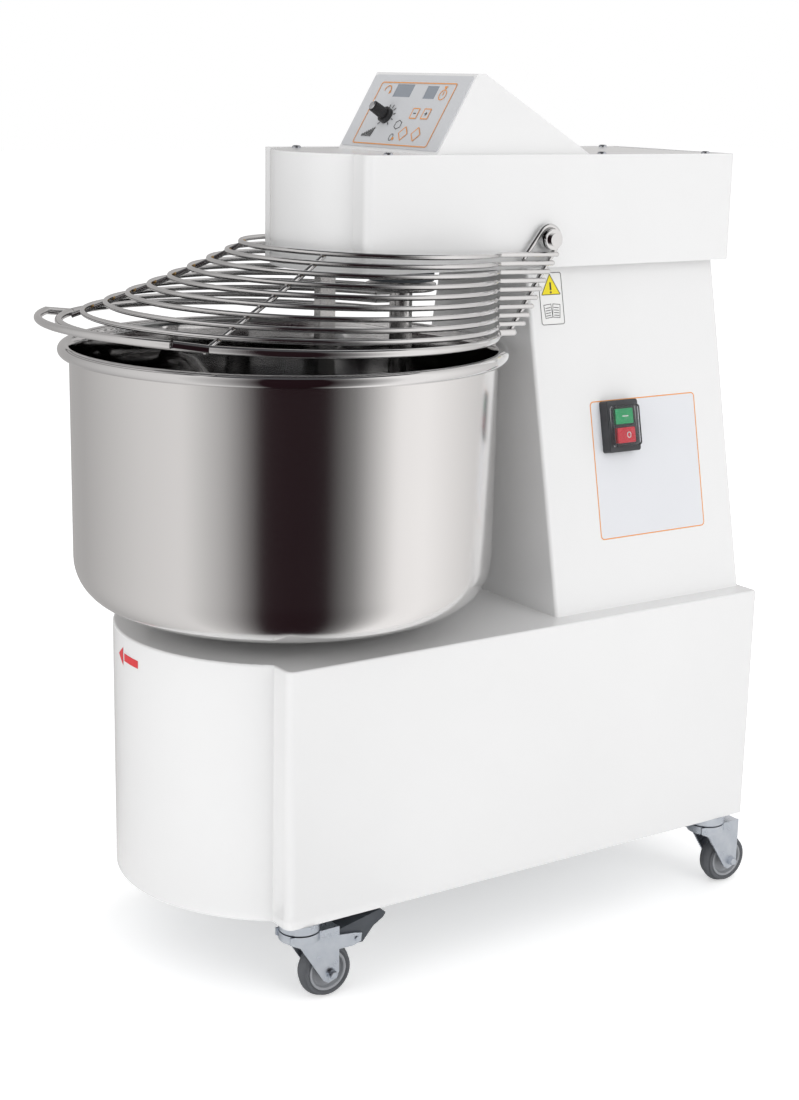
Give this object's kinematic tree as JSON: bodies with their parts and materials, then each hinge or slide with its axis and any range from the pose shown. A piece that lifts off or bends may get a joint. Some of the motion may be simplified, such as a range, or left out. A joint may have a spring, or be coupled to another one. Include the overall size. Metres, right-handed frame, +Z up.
{
  "type": "spiral dough mixer",
  "caption": "Floor-standing spiral dough mixer: turning steel bowl with breaker bar and spiral hook, wire guard, fixed head with sloped control console, column and base on swivel castors.",
  "frame": {"origin": "on the floor, under the middle of the bounding box", "axes": "+Z up, the bowl and the guard handle at -Y, the column at +Y, the start and stop switch on the +X side"},
  "size_m": [0.474, 0.8139, 0.9455],
  "materials": {
    "white_paint": "glossy powder coat",
    "steel_frame": "primer grey paint",
    "satin_steel": "satin spun stainless",
    "polished_steel": "polished stainless",
    "bright_wire": "bright polished wire",
    "panel_film": "printed panel film",
    "window": "smoked window",
    "orange_key": "satin film key",
    "black_plastic": "moulded",
    "grey_plastic": "moulded",
    "green_plastic": "moulded",
    "red_plastic": "moulded",
    "clear_boot": "clear flexible boot",
    "machined_steel": "turned",
    "bearing_iron": "painted casting",
    "sprocket_steel": "machined",
    "chain_steel": "oiled",
    "pulley_iron": "machined casting",
    "motor_paint": "semi gloss",
    "belt_rubber": "matte",
    "board": "solder mask",
    "zinc": "zinc plated",
    "castor_tyre": "grey rubber"
  },
  "bodies": {
    "frame": {"base_shell": "white_paint", "bowl_bearing": "bearing_iron", "bowl_chain": "chain_steel", "breaker_bar": "polished_steel", "cable_gland": "black_plastic", "castor_races": "zinc", "chassis": "steel_frame", "column_shell": "white_paint", "console_box": "white_paint", "control_board": "board", "control_panel": "panel_film", "cover_screws": "machined_steel", "display_windows": "window", "drive_belt": "belt_rubber", "guard_pivots": "polished_steel", "guard_switch": "black_plastic", "head_chain": "chain_steel", "head_lid": "white_paint", "head_plate": "steel_frame", "head_shell": "white_paint", "lay_bearing": "bearing_iron", "lay_chain": "chain_steel", "main_bearings": "bearing_iron", "motor": "motor_paint", "rear_cover": "white_paint", "spiral_bearing": "bearing_iron", "switch_boot": "clear_boot", "switch_housing": "grey_plastic"},
    "main_turn": {"main_shaft": "machined_steel", "main_pulley": "pulley_iron", "main_sprocket": "sprocket_steel"},
    "lay_turn": {"lay_shaft": "machined_steel", "lay_sprocket": "sprocket_steel"},
    "bowl_turn": {"bowl": "satin_steel", "bowl_hub": "machined_steel", "bowl_sprocket": "sprocket_steel"},
    "spiral_turn": {"spiral": "polished_steel", "spiral_flange": "polished_steel", "spiral_sprocket": "sprocket_steel"},
    "motor_turn": {"motor_pulley": "pulley_iron"},
    "guard": {"guard_rings": "bright_wire", "guard_ribs": "bright_wire", "guard_arms": "bright_wire"},
    "knob": {"speed_knob": "black_plastic"},
    "start_push": {"start_button": "green_plastic"},
    "stop_push": {"stop_button": "red_plastic"},
    "minus_key": {"key_minus": "orange_key"},
    "plus_key": {"key_plus": "orange_key"},
    "panel_start": {"key_start": "orange_key"},
    "panel_stop": {"key_stop": "orange_key"},
    "swivel_front_left": {"castor_fork_front_left": "zinc"},
    "wheel_front_left": {"castor_wheel_front_left": "castor_tyre"},
    "swivel_front_right": {"castor_fork_front_right": "zinc"},
    "wheel_front_right": {"castor_wheel_front_right": "castor_tyre"},
    "swivel_rear_left": {"castor_fork_rear_left": "zinc"},
    "wheel_rear_left": {"castor_wheel_rear_left": "castor_tyre"},
    "swivel_rear_right": {"castor_fork_rear_right": "zinc"},
    "wheel_rear_right": {"castor_wheel_rear_right": "castor_tyre"},
    "brake_left": {"brake_lever_front_left": "grey_plastic"},
    "brake_right": {"brake_lever_front_right": "grey_plastic"}
  },
  "joints": [
    {"name": "main_spin", "type": "hinge", "parent": "frame", "child": "main_turn", "pos_m": [0, 0.17, 0.5], "axis": [0, 0, 1], "continuous": true},
    {"name": "lay_spin", "type": "hinge", "parent": "frame", "child": "lay_turn", "pos_m": [0, 0.01, 0.27], "axis": [0, 0, 1], "continuous": true},
    {"name": "bowl_spin", "type": "hinge", "parent": "frame", "child": "bowl_turn", "pos_m": [0, -0.145, 0.39], "axis": [0, 0, 1], "continuous": true},
    {"name": "spiral_spin", "type": "hinge", "parent": "frame", "child": "spiral_turn", "pos_m": [0, 0.001, 0.7], "axis": [0, 0, 1], "continuous": true},
    {"name": "motor_spin", "type": "hinge", "parent": "frame", "child": "motor_turn", "pos_m": [0, 0.3, 0.75], "axis": [0, 0, 1], "continuous": true},
    {"name": "guard_open", "type": "hinge", "parent": "frame", "child": "guard", "pos_m": [0, 0.114, 0.7765], "axis": [-1, 0, 0], "range_deg": [0, 70]},
    {"name": "knob_turn", "type": "hinge", "parent": "frame", "child": "knob", "pos_m": [-0.0295, -0.00962, 0.90394], "axis": [0, 0.8573, -0.5148], "range_deg": [0, 270]},
    {"name": "start_press", "type": "slide", "parent": "frame", "child": "start_push", "axis": [-0.979, 0, -0.2039], "range_m": [0, 0.003], "stiffness_N_per_m": 400},
    {"name": "stop_press", "type": "slide", "parent": "frame", "child": "stop_push", "axis": [-0.979, 0, -0.2039], "range_m": [0, 0.003], "stiffness_N_per_m": 400},
    {"name": "minus_press", "type": "slide", "parent": "frame", "child": "minus_key", "axis": [0, 0.8573, -0.5148], "range_m": [0, 0.0004], "stiffness_N_per_m": 300},
    {"name": "plus_press", "type": "slide", "parent": "frame", "child": "plus_key", "axis": [0, 0.8573, -0.5148], "range_m": [0, 0.0004], "stiffness_N_per_m": 300},
    {"name": "panel_start_press", "type": "slide", "parent": "frame", "child": "panel_start", "axis": [0, 0.8573, -0.5148], "range_m": [0, 0.0004], "stiffness_N_per_m": 300},
    {"name": "panel_stop_press", "type": "slide", "parent": "frame", "child": "panel_stop", "axis": [0, 0.8573, -0.5148], "range_m": [0, 0.0004], "stiffness_N_per_m": 300},
    {"name": "swivel_front_left_turn", "type": "hinge", "parent": "frame", "child": "swivel_front_left", "pos_m": [-0.165, -0.2205, 0.085], "axis": [0, 0, 1], "continuous": true},
    {"name": "wheel_front_left_turn", "type": "hinge", "parent": "swivel_front_left", "child": "wheel_front_left", "pos_m": [-0.165, -0.1905, 0.03], "axis": [1, 0, 0], "continuous": true},
    {"name": "swivel_front_right_turn", "type": "hinge", "parent": "frame", "child": "swivel_front_right", "pos_m": [0.165, -0.2205, 0.085], "axis": [0, 0, 1], "continuous": true},
    {"name": "wheel_front_right_turn", "type": "hinge", "parent": "swivel_front_right", "child": "wheel_front_right", "pos_m": [0.165, -0.1905, 0.03], "axis": [1, 0, 0], "continuous": true},
    {"name": "swivel_rear_left_turn", "type": "hinge", "parent": "frame", "child": "swivel_rear_left", "pos_m": [-0.165, 0.347, 0.085], "axis": [0, 0, 1], "continuous": true},
    {"name": "wheel_rear_left_turn", "type": "hinge", "parent": "swivel_rear_left", "child": "wheel_rear_left", "pos_m": [-0.165, 0.377, 0.03], "axis": [1, 0, 0], "continuous": true},
    {"name": "swivel_rear_right_turn", "type": "hinge", "parent": "frame", "child": "swivel_rear_right", "pos_m": [0.165, 0.347, 0.085], "axis": [0, 0, 1], "continuous": true},
    {"name": "wheel_rear_right_turn", "type": "hinge", "parent": "swivel_rear_right", "child": "wheel_rear_right", "pos_m": [0.165, 0.377, 0.03], "axis": [1, 0, 0], "continuous": true},
    {"name": "brake_left_press", "type": "hinge", "parent": "swivel_front_left", "child": "brake_left", "pos_m": [-0.165, -0.1595, 0.062], "axis": [-1, 0, 0], "range_deg": [0, 5]},
    {"name": "brake_right_press", "type": "hinge", "parent": "swivel_front_right", "child": "brake_right", "pos_m": [0.165, -0.1595, 0.062], "axis": [-1, 0, 0], "range_deg": [0, 5]}
  ],
  "couplings": [
    {"joint": "lay_spin", "follows": "main_spin", "ratio": 0.21053},
    {"joint": "bowl_spin", "follows": "main_spin", "ratio": 0.044321},
    {"joint": "spiral_spin", "follows": "main_spin", "ratio": 0.31579},
    {"joint": "motor_spin", "follows": "main_spin", "ratio": 3.2143}
  ]
}
